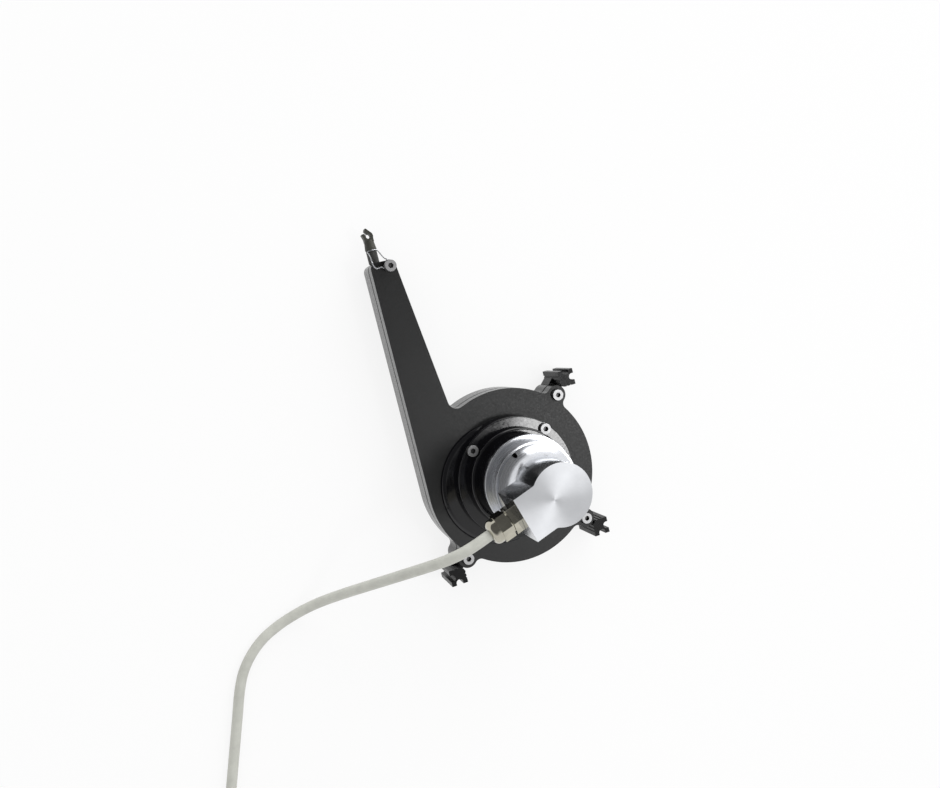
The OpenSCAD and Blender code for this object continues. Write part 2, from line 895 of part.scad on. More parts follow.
module encoder_adapter() {
    face = housing_h;
    color(GLOSS)
        difference() {
            union() {
                translate([base_offset.x, base_offset.y, 0])
                    rotate_extrude($fn = 128)
                        rim_profile(base_r, face, face + base_h, base_h - 0.1);
                rotate_extrude($fn = 128)
                    rim_profile(adapter_r, face, face + adapter_disc_h, 0.8);
                rotate_extrude($fn = 128)
                    rim_profile(adapter_step_r, face, face + adapter_step_h, 1.5);
                rotate_extrude($fn = 128)
                    rim_profile(adapter_neck_r, face, face + adapter_h, 0.3);
            }
            rod(adapter_bore_r, 0, pilot_z - plate_h);
            rod(12, 0, pilot_z + over);
            rod(pilot_r + fit, pilot_z, flange_z + over);
            at_angles([45 : 90 : 315], adapter_screw_r) {
                rod(m4_r + through, 0, face + adapter_disc_h + over);
                rod(m4_head_r + 0.5, face + adapter_disc_h - adapter_sink, flange_z);
            }
            at_angles([30, 150, 270], flange_screw_r)
                rod(m4_r + through, pilot_z - plate_h - over, pilot_z + over);
        }
}

module adapter_screws() {
    color(STEEL)
        at_angles([45 : 90 : 315], adapter_screw_r)
            translate([0, 0, housing_h + adapter_disc_h - adapter_sink])
                cap_screw(12);
}

module adapter_inserts() {
    color(BRASS)
        at_angles([45 : 90 : 315], adapter_screw_r)
            insert(m4_r + fit, roof_z - 1.1, housing_h);
}

module flange_screws() {
    color(STEEL)
        at_angles([30, 150, 270], flange_screw_r)
            translate([0, 0, pilot_z - plate_h])
                rotate([180, 0, 0])
                    cap_screw(10);
}

// ---------------------------------------------------------------- encoder

module flange_profile() {
    translate([0, pilot_z])
        square([pilot_r, pilot_h + over]);
    rim_profile(flange_r, flange_z, rim_z, 0.5);
    rim_profile(body_r, rim_z - over, shoulder_z, 0.3);
    difference() {
        translate([0, shoulder_z - over])
            square([shoulder_r, cap_z - shoulder_z + over]);
        translate([cap_r + flare_r, cap_z])
            circle(r = flare_r);
    }
}

// Places its children at the set screw of the upper bearing, z outward
module at_set_screw() {
    rotate(set_screw_angle)
        translate([small_bearing[1] + fit, 0, set_screw_z])
            rotate([0, 90, 0])
                children();
}

module encoder_flange() {
    color(ALUMINIUM)
        difference() {
            rotate_extrude($fn = 128)
                flange_profile();
            rod(4.5, 0, cap_top);
            rod(small_bearing[1], low_bearing_z, cap_top);
            rod(board_chamber_r, chamber_z, cap_top);
            at_angles([30, 150, 270], flange_screw_r)
                rod(m4_r + fit, pilot_z - over, pilot_z + 8);
            at_set_screw()
                translate([0, 0, -over])
                    cylinder(r = 1.25 + fit, h = flange_r);
        }
}

module flange_set_screw() {
    color(STEEL)
        at_set_screw()
            difference() {
                cylinder(r = 1.25, h = 8);
                translate([0, 0, 6.5])
                    cylinder(r = 0.7, h = 3, $fn = 6);
            }
}

module encoder_bearing_outers() {
    color(STEEL)
        for (z = [low_bearing_z, high_bearing_z])
            outer_race(small_bearing, z);
}

module encoder_bearing_inners() {
    color(STEEL)
        for (z = [low_bearing_z, high_bearing_z])
            inner_race(small_bearing, z);
}

module encoder_bearing_balls() {
    color(STEEL)
        for (z = [low_bearing_z, high_bearing_z])
            race_balls(small_bearing, z, 9);
}

module bearing_spacer() {
    color(ALUMINIUM)
        ring(small_bearing[1] - fit, 5.6, low_bearing_z + small_bearing[2], high_bearing_z);
}

module encoder_shaft() {
    color(STEEL) {
        rod(encoder_shaft_r - fit, encoder_shaft_z, encoder_shaft_top);
        rod(4, low_bearing_z + small_bearing[2], high_bearing_z);
    }
}

module magnet_holder() {
    color([0.85, 0.85, 0.8])
        difference() {
            rod(6, holder_z, encoder_shaft_top + 3);
            rod(encoder_shaft_r, 0, encoder_shaft_top);
            rod(4.5 + fit, encoder_shaft_top + 1, cap_top);
        }
}

module encoder_magnet() {
    color([0.3, 0.3, 0.32])
        rod(4.5, encoder_shaft_top + 1, encoder_shaft_top + 3.4);
}

module board_standoffs() {
    color(BRASS)
        at_angles([0, 120, 240], standoff_ring)
            difference() {
                rod(standoff_r, chamber_z, board_z);
                rod(1 + fit, board_z - 4, board_z + over);
            }
}

module sensor_board() {
    color([0.1, 0.35, 0.2])
        difference() {
            rod(board_r, board_z, board_z + board_t);
            at_angles([0, 120, 240], standoff_ring)
                rod(1.1, 0, cap_top);
        }
}

module board_parts() {
    color([0.15, 0.15, 0.15]) {
        translate([-2.5, -2.5, board_z - 1])
            cube([5, 5, 1]);
        translate([-4, -4, board_z + board_t])
            cube([8, 8, 1.4]);
        translate([-2.5, -12.5, board_z + board_t])
            cube([10, 5, 3.6]);
        translate([7, 7, 0])
            rod(1.8, board_z + board_t, board_z + board_t + 3);
    }
}

module board_screws() {
    color(STEEL)
        at_angles([0, 120, 240], standoff_ring) {
            rod(1.9, board_z + board_t, board_z + board_t + 1.3);
            rod(1, board_z - 3.5, board_z + board_t + 0.5);
        }
}

// Outline of the cap: a round body with a square nose, drawn in by an inset
module cap_outline(inset) {
    circle(r = cap_r - inset, $fn = 96);
    rotate(nose_angle) {
        translate([0, inset - nose_w / 2])
            square([nose_l - inset, nose_w - 2 * inset]);
        for (side = [0, 1])
            mirror([0, side])
                root_fillet(cap_r, [0, 1], [1, 0], nose_w / 2, 3.5, inset);
    }
}

// Places its children on the nose's end face, with local z outward
module on_nose(out) {
    rotate(nose_angle)
        translate([nose_l + out, 0, gland_z])
            rotate([0, 90, 0])
                children();
}

module encoder_cap() {
    color(ALUMINIUM)
        difference() {
            union() {
                difference() {
                    translate([0, 0, cap_z])
                        linear_extrude(cap_h)
                            cap_outline(0);
                    translate([0, 0, cap_z + cap_t])
                        linear_extrude(cap_h - cap_t - cap_top_t)
                            cap_outline(cap_t);
                }
                // spigot in the encoder body
                rod(board_chamber_r - fit, cap_z - 3.4, cap_z + over);
            }
            rod(13, 0, cap_z + cap_t + over);
            rotate_extrude($fn = 96)
                translate([board_chamber_r - 0.62, cap_z - 1.7])
                    circle(r = 0.6 + fit, $fn = 24);
            on_nose(-cap_t - over)
                cylinder(r = gland_thread_r, h = cap_t + 2 * over);
        }
}

module cap_seal() {
    color([0.1, 0.1, 0.1])
        rotate_extrude($fn = 96)
            translate([board_chamber_r - 0.62, cap_z - 1.7])
                circle(r = 0.6, $fn = 24);
}

// ---------------------------------------------------------------- gland and cable

module gland_body() {
    color(STEEL)
        difference() {
            union() {
                on_nose(-cap_t - 0.4)
                    cylinder(r = gland_thread_r - fit, h = cap_t + over);
                on_nose(0)
                    cylinder(r = gland_hex_r, h = gland_hex_l, $fn = 6);
                on_nose(gland_hex_l - over)
                    cylinder(r = gland_barrel_r, h = gland_barrel_l - gland_hex_l + over);
            }
            on_nose(-cap_t - over)
                cylinder(r = gland_bore_r, h = gland_barrel_l + cap_t + 2 * over);
            on_nose(gland_barrel_l - 4)
                cylinder(r = 5 + fit, h = 4 + over);
        }
}

module gland_seal() {
    color([0.12, 0.12, 0.12])
        on_nose(gland_barrel_l - 4)
            difference() {
                cylinder(r = 5, h = 4.8);
                translate([0, 0, -over])
                    cylinder(r = cable_d / 2 + 0.05, h = 8);
            }
}

module gland_nut() {
    color(STEEL)
        difference() {
            union() {
                on_nose(gland_nut_start)
                    cylinder(r = gland_hex_r, h = gland_nut_l, $fn = 6);
                on_nose(gland_nut_start + gland_nut_l - over)
                    rotate_extrude()
                        rim_profile(7.3, 0, gland_end - gland_nut_start - gland_nut_l + over, 3.5);
            }
            on_nose(gland_nut_start - over)
                cylinder(r = gland_barrel_r + fit, h = gland_barrel_l - gland_nut_start + over + 1);
            on_nose(0)
                cylinder(r = gland_bore_r + 0.1, h = gland_end + over);
        }
}

module signal_cable() {
    color([0.72, 0.72, 0.69])
        rotate(nose_angle)
            tube(cable_route, cable_d / 2, 10, [0, 1, 0]);
}

// Half profile of the stored cable: two turns side by side and one on top, drawn out by a gap
module coil_profile(gap) {
    inner = coil_inner_r - cable_d / 2;
    outer = inner + 2 * cable_d;
    polygon([[inner - gap, -gap], [outer + gap, -gap], [outer + gap, cable_d],
        [outer + gap - cable_d / 2, 2 * cable_d + gap],
        [inner - gap + cable_d / 2, 2 * cable_d + gap], [inner - gap, cable_d]]);
}

// Places its children at the coil's centre
module at_coil() {
    rotate(nose_angle)
        translate([coil_centre.x, coil_centre.y, coil_z])
            children();
}

module cable_coil() {
    color([0.72, 0.72, 0.69])
        at_coil()
            rotate_extrude($fn = 96)
                coil_profile(0);
}

// Strap that holds the turns together
module coil_tie() {
    color([0.1, 0.1, 0.1])
        at_coil()
            rotate([90, 0, 205])
                translate([0, 0, -2])
                    linear_extrude(4)
                        difference() {
                            coil_profile(0.8);
                            coil_profile(0.15);
                        }
}

// Places its children where the cable leaves the coil, with local y along it
module on_tail() {
    rotate(nose_angle)
        translate([coil_centre.x, coil_centre.y, 0])
            rotate(tail_angle)
                children();
}

module cable_tail() {
    color([0.72, 0.72, 0.69])
        on_tail()
            tube(tail_route, cable_d / 2, 10, [1, 0, 0]);
}

// Places its children at the six leads, fanned out in two layers
module at_leads() {
    for (i = [0 : 5])
        on_tail()
            translate(tail_route[len(tail_route) - 1] + [0.7 * (i - 2.5), 0.2, i % 2 == 0 ? 0.72 : -0.72])
                rotate([-91.5, 0, -lead_spread * (i - 2.5)])
                    children();
}

module core_leads() {
    color([0.6, 0.55, 0.5])
        at_leads()
            cylinder(r = lead_r, h = lead_l, $fn = 24);
}

module lead_ferrules() {
    color(STEEL)
        at_leads()
            translate([0, 0, lead_l])
                cylinder(r = 0.5, h = 7, $fn = 24);
}

// ---------------------------------------------------------------- wire outlet and clip

module outlet_nozzle() {
    color([0.16, 0.16, 0.15])
        difference() {
            union() {
                on_wire(arm_reach - 8)
                    cylinder(r = nozzle_thread_r - fit, h = 9);
                on_wire(arm_reach)
                    cylinder(r = nozzle_r, h = nozzle_l);
            }
            on_wire(arm_reach - 8 - over)
                cylinder(r = 1.6, h = nozzle_l + 8 + 2 * over);
        }
}

module guide_bush() {
    color([0.92, 0.92, 0.88])
        on_wire(arm_hollow_y)
            difference() {
                cylinder(r = nozzle_thread_r - fit, h = arm_block_l - 8);
                translate([0, 0, -over])
                    cylinder(r = wire_d / 2 + running, h = arm_block_l);
                translate([0, 0, -0.01])
                    cylinder(r1 = 1.9, r2 = wire_d / 2 + running, h = 1.6);
            }
}

module wiper_felt() {
    color([0.7, 0.68, 0.6])
        on_wire(arm_reach - 6)
            difference() {
                cylinder(r = 1.6 - fit, h = 10);
                translate([0, 0, -over])
                    cylinder(r = wire_d / 2 + running, h = 12);
            }
}

module wire_run() {
    color(STEEL)
        on_wire(10)
            cylinder(r = wire_d / 2, h = arm_hollow_y - 12, $fn = 24);
}

// Wire bail: a loop under the head of the arm's end screw, then once round the nozzle
module retaining_wire() {
    loop = [for (a = [30 : -20 : -150]) [loop_r * cos(a), loop_r * sin(a), retainer_d / 2]];
    color(STEEL)
        translate([tip_screw.x, tip_screw.y, housing_h])
            tube(smooth(concat(loop, retainer_route), 2), retainer_d / 2 - fit, 8, [0, 0, 1]);
}

module wire_lead() {
    color(STEEL)
        on_wire(arm_hollow_y - 1.7)
            cylinder(r = wire_d / 2, h = arm_block_l + nozzle_l + 7, $fn = 24);
}

module crimp_sleeve() {
    color(BRASS)
        on_wire(arm_reach + nozzle_l + 0.5)
            difference() {
                cylinder(r = 1.2, h = 5);
                translate([0, 0, -over])
                    cylinder(r = wire_d / 2 + fit, h = 8);
            }
}

// Clip at the wire's end: a tapered body and a round head with an open eye
module wire_clip() {
    seat = arm_reach + nozzle_l;
    head = seat + clip_body_l + clip_head_r - 0.8;
    end_r = clip_r * 0.78;
    color([0.22, 0.22, 0.17])
        difference() {
            union() {
                on_wire(seat)
                    cylinder(r1 = clip_r, r2 = end_r, h = clip_body_l);
                translate([wire_x, head, wire_z - clip_head_t / 2])
                    linear_extrude(clip_head_t) {
                        circle(r = clip_head_r);
                        translate([-end_r, -clip_head_r - 0.4])
                            square([2 * end_r, clip_head_r + 0.4]);
                        // beak over the mouth and lip under it
                        polygon([[2, 1.6], [1.5, 2.9], [-0.3, 4.9], [-1, 4.9], [-2, 2.4], [0, 1.6]]);
                        polygon([[-1.6, -2], [-2.8, -1.6], [-3.8, 1.6], [-3.3, 2], [-1.2, 1.2]]);
                    }
            }
            translate([wire_x, head, 0]) {
                rod(clip_eye_r, 0, housing_h);
                rotate(125)
                    translate([0, -clip_mouth_w / 2, 0])
                        cube([10, clip_mouth_w, housing_h]);
            }
            on_wire(seat - over)
                cylinder(r = 1.2 + fit, h = over + 5.6);
        }
}

// ---------------------------------------------------------------- the nodes

rear_housing();
front_housing();
housing_seal();
mounting_feet();
housing_screws();
shell_inserts();
mount_inserts();
spring_arbor();
arbor_screws();
power_spring();
rear_bearing_outer();
rear_bearing_inner();
front_bearing_outer();
front_bearing_inner();
drum_bearing_balls();
bearing_circlip();
wire_drum();
drum_key();
drum_shaft();
shaft_spacer();
shaft_circlip();
wire_winding();
shaft_coupling();
coupling_screws();
encoder_adapter();
adapter_screws();
adapter_inserts();
flange_screws();
encoder_flange();
flange_set_screw();
encoder_bearing_outers();
encoder_bearing_inners();
bearing_spacer();
encoder_bearing_balls();
encoder_shaft();
magnet_holder();
encoder_magnet();
board_standoffs();
sensor_board();
board_parts();
board_screws();
encoder_cap();
cap_seal();
gland_body();
gland_seal();
gland_nut();
signal_cable();
cable_coil();
coil_tie();
cable_tail();
core_leads();
lead_ferrules();
outlet_nozzle();
guide_bush();
wiper_felt();
wire_run();
retaining_wire();
wire_lead();
crimp_sleeve();
wire_clip();
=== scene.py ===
"""Draw wire encoder: finishes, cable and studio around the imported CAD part.

Metres, in the part's own frame: +Z is the drum axis, +Y the way the wire leaves, z = 0 the table.
"""

import json
import math

import bmesh
import bpy
from mathutils import Matrix, Vector


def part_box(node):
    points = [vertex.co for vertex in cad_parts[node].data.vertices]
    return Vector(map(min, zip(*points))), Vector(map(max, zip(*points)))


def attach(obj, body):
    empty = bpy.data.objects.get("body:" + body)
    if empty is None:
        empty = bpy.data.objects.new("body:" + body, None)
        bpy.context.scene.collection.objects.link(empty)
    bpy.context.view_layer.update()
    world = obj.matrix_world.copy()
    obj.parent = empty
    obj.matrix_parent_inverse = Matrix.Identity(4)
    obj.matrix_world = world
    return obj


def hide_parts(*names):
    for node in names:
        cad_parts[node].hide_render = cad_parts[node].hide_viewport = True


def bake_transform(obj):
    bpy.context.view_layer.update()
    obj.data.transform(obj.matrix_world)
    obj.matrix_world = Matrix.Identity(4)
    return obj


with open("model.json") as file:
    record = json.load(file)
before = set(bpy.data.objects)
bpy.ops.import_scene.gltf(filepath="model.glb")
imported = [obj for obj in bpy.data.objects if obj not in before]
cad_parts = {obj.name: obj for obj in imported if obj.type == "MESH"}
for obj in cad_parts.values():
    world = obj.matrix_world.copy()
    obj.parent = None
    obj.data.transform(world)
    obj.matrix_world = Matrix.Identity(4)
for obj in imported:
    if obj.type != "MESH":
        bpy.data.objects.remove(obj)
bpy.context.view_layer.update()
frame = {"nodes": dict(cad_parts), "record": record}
nodes = frame["nodes"]
scene = bpy.context.scene
MM = 0.001

# ---------------------------------------------------------------- camera


# solved from circles and edges of known size in the photograph
CAMERA_AT = (-0.1549, 0.1160, 0.5005)
CAMERA_AHEAD = (0.2804, -0.1161, -0.9529)
CAMERA_RIGHT = (0.9234, -0.2385, 0.3007)
LENS, SENSOR = 30.64, 36  # millimetres
NEAREST_SEEN = 0.01


def add_camera():
    """Looks down on the unit from above its wire side, as close as the photograph was taken."""
    data = bpy.data.cameras.new("camera")
    data.lens = LENS
    data.sensor_width = SENSOR
    data.clip_start = NEAREST_SEEN
    ahead = Vector(CAMERA_AHEAD).normalized()
    right = Vector(CAMERA_RIGHT)
    right = (right - right.dot(ahead) * ahead).normalized()
    up = right.cross(ahead)
    camera = bpy.data.objects.new("camera", data)
    camera.matrix_world = Matrix.Translation(CAMERA_AT) @ (
        Matrix((right, up, -ahead)).transposed().to_4x4()
    )
    scene.collection.objects.link(camera)
    scene.camera = camera


# ---------------------------------------------------------------- node materials


# a mix node's colour sockets, which come after its float and vector ones
MIX_A, MIX_B, MIX_RESULT = 6, 7, 2
# black painted on the set screw's bore wall as its shade
BORE_SHADE = (0.01, 0.01, 0.01, 1)
QUARTER_TURN = 0.25


class Shader:
    """One principled material and the nodes that feed it."""

    def __init__(self, name, colour, rough, metal=0.0, **sockets):
        self.material = bpy.data.materials.new(name)
        self.material.use_nodes = True
        self.material.diffuse_color = (*colour, 1)
        self.tree = self.material.node_tree
        self.bsdf = self.tree.nodes["Principled BSDF"]
        self.set("Base Color", (*colour, 1))
        self.set("Roughness", rough)
        self.set("Metallic", metal)
        for key, value in sockets.items():
            self.set(key.replace("_", " "), value)
        self.place = self.node("ShaderNodeTexCoord").outputs["Object"]

    def set(self, socket, value):
        self.bsdf.inputs[socket].default_value = value

    def node(self, kind, inputs=(), **properties):
        """A node, with its properties set and its inputs linked or set."""
        made = self.tree.nodes.new(kind)
        for key, value in properties.items():
            setattr(made, key, value)
        for key, value in dict(inputs).items():
            if isinstance(value, bpy.types.NodeSocket):
                self.tree.links.new(value, made.inputs[key])
            else:
                made.inputs[key].default_value = value
        return made

    def link(self, output, socket):
        self.tree.links.new(output, self.bsdf.inputs[socket])

    def noise(self, scale, detail=2.0, place=None, rough=0.5):
        """Noise whose grains are about 1/scale metres across."""
        made = self.node(
            "ShaderNodeTexNoise",
            {"Vector": place or self.place, "Scale": scale, "Detail": detail, "Roughness": rough},
        )
        return made.outputs["Fac"]

    def ranged(self, value, low, high, start=0.3, end=0.7):
        """Maps a value from start..end to low..high."""
        made = self.node(
            "ShaderNodeMapRange",
            {"Value": value, "From Min": start, "From Max": end, "To Min": low, "To Max": high},
        )
        return made.outputs["Result"]

    def bump(self, height, depth):
        """Raises the surface by up to depth metres."""
        made = self.node("ShaderNodeBump", {"Height": height, "Distance": depth, "Strength": 1.0})
        self.link(made.outputs["Normal"], "Normal")

    def tint(self, factor, dark, light):
        """Base colour between two colours."""
        made = self.node("ShaderNodeMix", {"Factor": factor}, data_type="RGBA")
        made.inputs[MIX_A].default_value = (*dark, 1)
        made.inputs[MIX_B].default_value = (*light, 1)
        self.link(made.outputs[MIX_RESULT], "Base Color")

    def brush(self, anisotropy):
        """Lines round the vertical axis, which smear reflections across them."""
        self.set("Anisotropic", anisotropy)
        self.set("Anisotropic Rotation", QUARTER_TURN)
        tangent = self.node("ShaderNodeTangent", direction_type="RADIAL", axis="Z")
        self.link(tangent.outputs["Tangent"], "Tangent")

    def level(self):
        """1 on faces that lie level, 0 on walls."""
        normal = self.node("ShaderNodeNewGeometry").outputs["Normal"]
        z = self.node("ShaderNodeSeparateXYZ", {"Vector": normal}).outputs["Z"]
        size = self.node("ShaderNodeMath", {0: z}, operation="ABSOLUTE")
        return self.ranged(size.outputs[0], 0, 1, 0.8, 0.95)

    def paint_pit_shade(self, dark, light, reach):
        """Paints shade into the bottoms of sockets and holes, by how enclosed ambient occlusion
        finds them.
        """
        open_sky = self.node(
            "ShaderNodeAmbientOcclusion", {"Distance": reach}, samples=8, only_local=True
        )
        self.tint(self.ranged(open_sky.outputs["AO"], 0, 1, 0.3, 0.8), dark, light)

    def paint_bore_shade(self, centre, along, radius):
        """Paints shade on the wall of a bore, as black, given a point on its axis, its direction
        and its radius.
        """
        off = self.node("ShaderNodeVectorMath", {0: self.place, 1: centre}, operation="SUBTRACT")
        cross = self.node(
            "ShaderNodeVectorMath", {0: off.outputs[0], 1: along}, operation="CROSS_PRODUCT"
        )
        away = self.node("ShaderNodeVectorMath", {0: cross.outputs[0]}, operation="LENGTH")
        inside = self.node(
            "ShaderNodeMath", {0: away.outputs["Value"], 1: radius}, operation="LESS_THAN"
        )
        plain = self.bsdf.inputs["Base Color"].links[0].from_socket
        made = self.node("ShaderNodeMix", {"Factor": inside.outputs[0]}, data_type="RGBA")
        self.tree.links.new(plain, made.inputs[MIX_A])
        made.inputs[MIX_B].default_value = BORE_SHADE
        self.link(made.outputs[MIX_RESULT], "Base Color")

    def rings(self, fine=9000):
        """Turning lines round the drum axis: noise of the distance from it and of the height."""
        split = self.node("ShaderNodeSeparateXYZ", {"Vector": self.place}).outputs
        flat = self.node("ShaderNodeCombineXYZ", {"X": split["X"], "Y": split["Y"]})
        r = self.node("ShaderNodeVectorMath", {0: flat.outputs[0]}, operation="LENGTH")
        line = self.node("ShaderNodeCombineXYZ", {"X": r.outputs["Value"], "Z": split["Z"]})
        return self.noise(fine, 3.0, line.outputs[0], 0.7)


def milled(name, colour, rough, side_rough, anisotropy):
    """Metal with turning lines on its top and plain, smoother milled sides."""
    s = Shader(name, colour, rough, 1.0)
    s.tint(s.ranged(s.noise(120, 4), 0, 1), shaded(colour, 0.95), shaded(colour, 1.03))
    lines = s.rings(fine=7000)
    top = s.level()
    s.brush(1.0)
    s.link(s.ranged(top, 0, anisotropy, 0, 1), "Anisotropic")
    s.link(s.ranged(top, side_rough, rough, 0, 1), "Roughness")
    s.bump(lines, 0.004 * MM)
    return s.material


def shaded(colour, by):
    """The colour, darker or lighter."""
    return tuple(min(1.0, c * by) for c in colour)


def moulded(name, colour, rough, grain=2600, depth=0.06 * MM, walls=1.0, **sockets):
    """Moulded plastic with a fine spark-eroded grain and a slight unevenness of tone.
    Its walls have this share of the roughness of its level faces."""
    s = Shader(name, colour, rough, **sockets)
    s.tint(s.ranged(s.noise(60, 4), 0, 1), shaded(colour, 0.82), shaded(colour, 1.2))
    patches = s.ranged(s.noise(grain / 3, 3), rough - 0.07, rough + 0.08)
    if walls < 1:
        share = s.ranged(s.level(), walls, 1, 0, 1)
        patches = s.node("ShaderNodeMath", {0: patches, 1: share}, operation="MULTIPLY").outputs[0]
    s.link(patches, "Roughness")
    s.bump(s.noise(grain, 3, rough=0.65), depth)
    return s.material


def gloss(name, colour, rough):
    """Polished black surface: long soft ripples and a few dust-fine marks."""
    s = Shader(name, colour, rough, Specular_IOR_Level=0.5)
    s.tint(s.ranged(s.noise(90, 3), 0, 1), shaded(colour, 0.8), shaded(colour, 1.3))
    s.link(s.ranged(s.noise(700, 5), rough - 0.03, rough + 0.08), "Roughness")
    s.bump(s.rings(fine=1500), 0.004 * MM)
    return s.material


def turned(name, colour, rough, depth=0.006 * MM, fine=9000, anisotropy=0.0, pit_shade_reach=0.0, bore=None):
    """Metal turned on a lathe round the drum axis. Sockets up to pit_shade_reach metres deep get
    painted shade at their bottoms, and the bore gets its wall painted black as shade; the bore is
    given by a point on its axis, its direction and its radius."""
    s = Shader(name, colour, rough, 1.0)
    if pit_shade_reach:
        s.paint_pit_shade(shaded(colour, 0.06), colour, pit_shade_reach)
    else:
        s.tint(s.ranged(s.noise(120, 4), 0, 1), shaded(colour, 0.93), shaded(colour, 1.04))
    if bore:
        s.paint_bore_shade(*bore)
    lines = s.rings(fine=fine)
    s.link(s.ranged(lines, rough - 0.06, rough + 0.08), "Roughness")
    s.bump(lines, depth)
    if anisotropy:
        s.brush(anisotropy)
    return s.material


def metal(name, colour, rough, grain=1500, depth=0.008 * MM):
    """Plain metal with faint wear."""
    s = Shader(name, colour, rough, 1.0)
    s.tint(s.ranged(s.noise(200, 4), 0, 1), shaded(colour, 0.88), shaded(colour, 1.06))
    s.link(s.ranged(s.noise(grain / 2, 4), rough - 0.06, rough + 0.1), "Roughness")
    s.bump(s.noise(grain, 4), depth)
    return s.material


def cloth(name, colour):
    """Pressed fibre."""
    s = Shader(name, colour, 0.9, Sheen_Weight=0.4)
    fibres = s.noise(4000, 6)
    s.tint(s.ranged(fibres, 0, 1), shaded(colour, 0.7), shaded(colour, 1.15))
    s.bump(fibres, 0.1 * MM)
    return s.material


def board(name, colour):
    """Green solder mask over copper tracks."""
    s = Shader(name, colour, 0.3)
    tracks = s.node(
        "ShaderNodeTexBrick",
        {"Vector": s.place, "Scale": 420.0, "Mortar Size": 0.03, "Mortar Smooth": 0.4},
        offset=0.37,
    )
    s.tint(tracks.outputs["Fac"], colour, shaded(colour, 1.7))
    s.bump(tracks.outputs["Fac"], 0.02 * MM)
    return s.material


def sheath(name, colour):
    """Smooth extruded cable sheath, faintly marked by handling."""
    s = Shader(name, colour, 0.42)
    marks = s.noise(140, 5, rough=0.6)
    s.tint(s.ranged(marks, 0, 1), shaded(colour, 0.9), shaded(colour, 1.07))
    s.link(s.ranged(s.noise(600, 3), 0.36, 0.52), "Roughness")
    s.bump(s.noise(900, 2), 0.03 * MM)
    return s.material


BORE_CLEARANCE = 0.1 * MM


def set_screw_bore():
    """The hole of the set screw, whose wall gets painted shade: a point on its axis, its direction
    and its radius.
    """
    low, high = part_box("flange_set_screw")
    middle = (low + high) / 2
    outward = Vector((middle.x, middle.y, 0)).normalized()
    return middle, outward, (high.z - low.z) / 2 + BORE_CLEARANCE


FINISHES = {
    "housing_plastic": moulded(
        "housing_plastic", (0.0055, 0.0058, 0.006), 0.38, walls=0.5, Specular_IOR_Level=0.5
    ),
    "foot_plastic": moulded(
        "foot_plastic",
        (0.004, 0.004, 0.0045),
        0.3,
        grain=1800,
        depth=0.04 * MM,
        Specular_IOR_Level=0.22,
    ),
    "seal_rubber": moulded("seal_rubber", (0.008, 0.008, 0.008), 0.7),
    "adapter_gloss": gloss("adapter_gloss", (0.003, 0.003, 0.004), 0.09),
    "flange_aluminium": turned(
        "flange_aluminium",
        (0.74, 0.755, 0.79),
        0.24,
        depth=0.004 * MM,
        fine=4000,
        anisotropy=0.55,
        # the set screw's bore wall is painted black as shade
        bore=set_screw_bore(),
    ),
    "cap_aluminium": milled(
        "cap_aluminium", (0.62, 0.63, 0.65), 0.5, side_rough=0.14, anisotropy=0.8
    ),
    "machined_aluminium": turned("machined_aluminium", (0.78, 0.79, 0.8), 0.3),
    "gland_nickel": metal(
        "gland_nickel", (0.48, 0.46, 0.39), 0.07, grain=1200, depth=0.003 * MM
    ),
    "screw_steel": turned(
        # the screws' sockets get painted shade at their bottoms
        "screw_steel", (0.47, 0.47, 0.475), 0.4, depth=0.003 * MM, pit_shade_reach=3 * MM
    ),
    "black_steel": metal("black_steel", (0.02, 0.02, 0.022), 0.5),
    "brass": turned("brass", (0.78, 0.58, 0.28), 0.24),
    "spring_steel": metal("spring_steel", (0.5, 0.51, 0.53), 0.25),
    "bearing_steel": metal("bearing_steel", (0.72, 0.72, 0.74), 0.1),
    "shaft_steel": turned("shaft_steel", (0.66, 0.66, 0.67), 0.18),
    "wire_rope": metal("wire_rope", (0.6, 0.6, 0.6), 0.3, grain=5000, depth=0.04 * MM),
    "drum_plastic": moulded("drum_plastic", (0.68, 0.67, 0.63), 0.45),
    "magnet": metal("magnet", (0.35, 0.35, 0.36), 0.22),
    "circuit_board": board("circuit_board", (0.02, 0.16, 0.07)),
    "chip_plastic": moulded("chip_plastic", (0.02, 0.02, 0.02), 0.5),
    "cable_sheath": sheath("cable_sheath", (0.55, 0.555, 0.505)),
    "tie_plastic": moulded("tie_plastic", (0.015, 0.015, 0.015), 0.45),
    "core_insulation": sheath("core_insulation", (0.45, 0.3, 0.2)),
    "ferrule": metal("ferrule", (0.7, 0.7, 0.7), 0.25),
    "nozzle_plastic": moulded("nozzle_plastic", (0.03, 0.03, 0.028), 0.5),
    "clip_plastic": moulded("clip_plastic", (0.034, 0.034, 0.026), 0.5),
    "felt": cloth("felt", (0.5, 0.48, 0.42)),
}
SLOTS = {p["node"]: p["material_slot"] for p in frame["record"]["subparts"]}
BODIES = {n: b for b, ns in frame["record"]["behaviour"]["bodies"].items() for n in ns}
# nodes whose look differs from that of their slot
OWN_FINISH = {"flange_set_screw": "black_steel"}


def finish_node(node):
    """Gives a CAD node its own finish or its slot's."""
    mesh = nodes[node].data
    mesh.materials.clear()
    mesh.materials.append(FINISHES[OWN_FINISH.get(node, SLOTS[node])])


# ---------------------------------------------------------------- pieces


def link_piece(name, data, node, finish=None):
    """Links a piece that stands for a CAD node and moves with its body."""
    piece = bpy.data.objects.new(name, data)
    scene.collection.objects.link(piece)
    data.materials.clear()
    data.materials.append(finish or FINISHES[SLOTS[node]])
    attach(piece, BODIES[node])
    return piece


WELD = 0.002 * MM
FLAT_ANGLE = math.radians(0.4)


